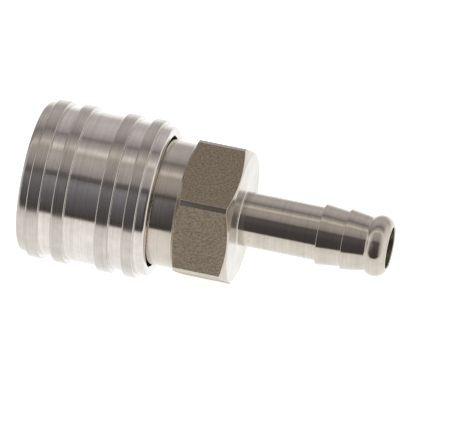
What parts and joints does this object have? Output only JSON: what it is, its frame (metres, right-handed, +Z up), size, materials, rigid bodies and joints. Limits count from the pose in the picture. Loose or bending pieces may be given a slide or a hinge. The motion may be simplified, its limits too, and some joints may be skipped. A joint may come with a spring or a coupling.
{
  "type": "quick coupling socket",
  "caption": "Stainless quick-release air coupling socket with a ribbed pull-back sleeve, hexagon, ball lock, shut-off valve and barbed hose tail.",
  "frame": {"origin": "on the coupling's axis, in the plane of the plug mouth", "axes": "+X along the axis from the plug mouth to the hose end, +Z up and square to the hexagon's two level flats, +Y to the left when looking along +X"},
  "size_m": [0.0581, 0.0256, 0.0256],
  "materials": {
    "stainless_turned": "turned stainless steel, fine lathe lines",
    "stainless_sleeve": "turned stainless steel, bright grooves and duller ribs",
    "stainless_valve": "turned stainless steel, bright",
    "spring_steel": "drawn stainless spring wire",
    "hardened_ball": "ground and polished stainless",
    "nitrile_seal": "moulded nitrile, satin black",
    "ptfe_bush": "turned white fluoropolymer"
  },
  "bodies": {
    "housing": {"hose_tail": "stainless_turned", "socket_body": "stainless_turned", "body_seal": "nitrile_seal", "retaining_ring": "spring_steel", "plug_seal": "nitrile_seal", "spring_guide": "stainless_turned", "guide_bush": "ptfe_bush", "valve_spring": "spring_steel", "sleeve_spring": "spring_steel"},
    "sleeve_washer": {"thrust_washer": "stainless_turned"},
    "sleeve_grip": {"sleeve": "stainless_sleeve"},
    "valve": {"valve_tube": "stainless_valve", "valve_head": "stainless_valve", "valve_seal": "nitrile_seal"},
    "lock_ball_1": {"ball_1": "hardened_ball"},
    "lock_ball_2": {"ball_2": "hardened_ball"},
    "lock_ball_3": {"ball_3": "hardened_ball"},
    "lock_ball_4": {"ball_4": "hardened_ball"},
    "lock_ball_5": {"ball_5": "hardened_ball"},
    "lock_ball_6": {"ball_6": "hardened_ball"}
  },
  "joints": [
    {"name": "sleeve_slide", "type": "slide", "parent": "housing", "child": "sleeve_washer", "axis": [1, 0, 0], "range_m": [0, 0.0038], "stiffness_N_per_m": 5000, "springref_m": -0.004, "deforming": ["sleeve_spring"]},
    {"name": "sleeve_spin", "type": "hinge", "parent": "sleeve_washer", "child": "sleeve_grip", "pos_m": [0, 0, 0], "axis": [1, 0, 0], "continuous": true},
    {"name": "valve_slide", "type": "slide", "parent": "housing", "child": "valve", "axis": [1, 0, 0], "range_m": [0, 0.003], "stiffness_N_per_m": 3000, "springref_m": -0.003, "deforming": ["valve_spring"]},
    {"name": "ball_1_lift", "type": "slide", "parent": "housing", "child": "lock_ball_1", "axis": [0, 0, -1], "range_m": [0, 0.00095]},
    {"name": "ball_2_lift", "type": "slide", "parent": "housing", "child": "lock_ball_2", "axis": [0, 0.866, -0.5], "range_m": [0, 0.00095]},
    {"name": "ball_3_lift", "type": "slide", "parent": "housing", "child": "lock_ball_3", "axis": [0, 0.866, 0.5], "range_m": [0, 0.00095]},
    {"name": "ball_4_lift", "type": "slide", "parent": "housing", "child": "lock_ball_4", "axis": [0, 0, 1], "range_m": [0, 0.00095]},
    {"name": "ball_5_lift", "type": "slide", "parent": "housing", "child": "lock_ball_5", "axis": [0, -0.866, 0.5], "range_m": [0, 0.00095]},
    {"name": "ball_6_lift", "type": "slide", "parent": "housing", "child": "lock_ball_6", "axis": [0, -0.866, -0.5], "range_m": [0, 0.00095]}
  ],
  "couplings": [
    {"joint": "ball_1_lift", "follows": "sleeve_slide", "ratio": 0.25},
    {"joint": "ball_2_lift", "follows": "sleeve_slide", "ratio": 0.25},
    {"joint": "ball_3_lift", "follows": "sleeve_slide", "ratio": 0.25},
    {"joint": "ball_4_lift", "follows": "sleeve_slide", "ratio": 0.25},
    {"joint": "ball_5_lift", "follows": "sleeve_slide", "ratio": 0.25},
    {"joint": "ball_6_lift", "follows": "sleeve_slide", "ratio": 0.25}
  ]
}
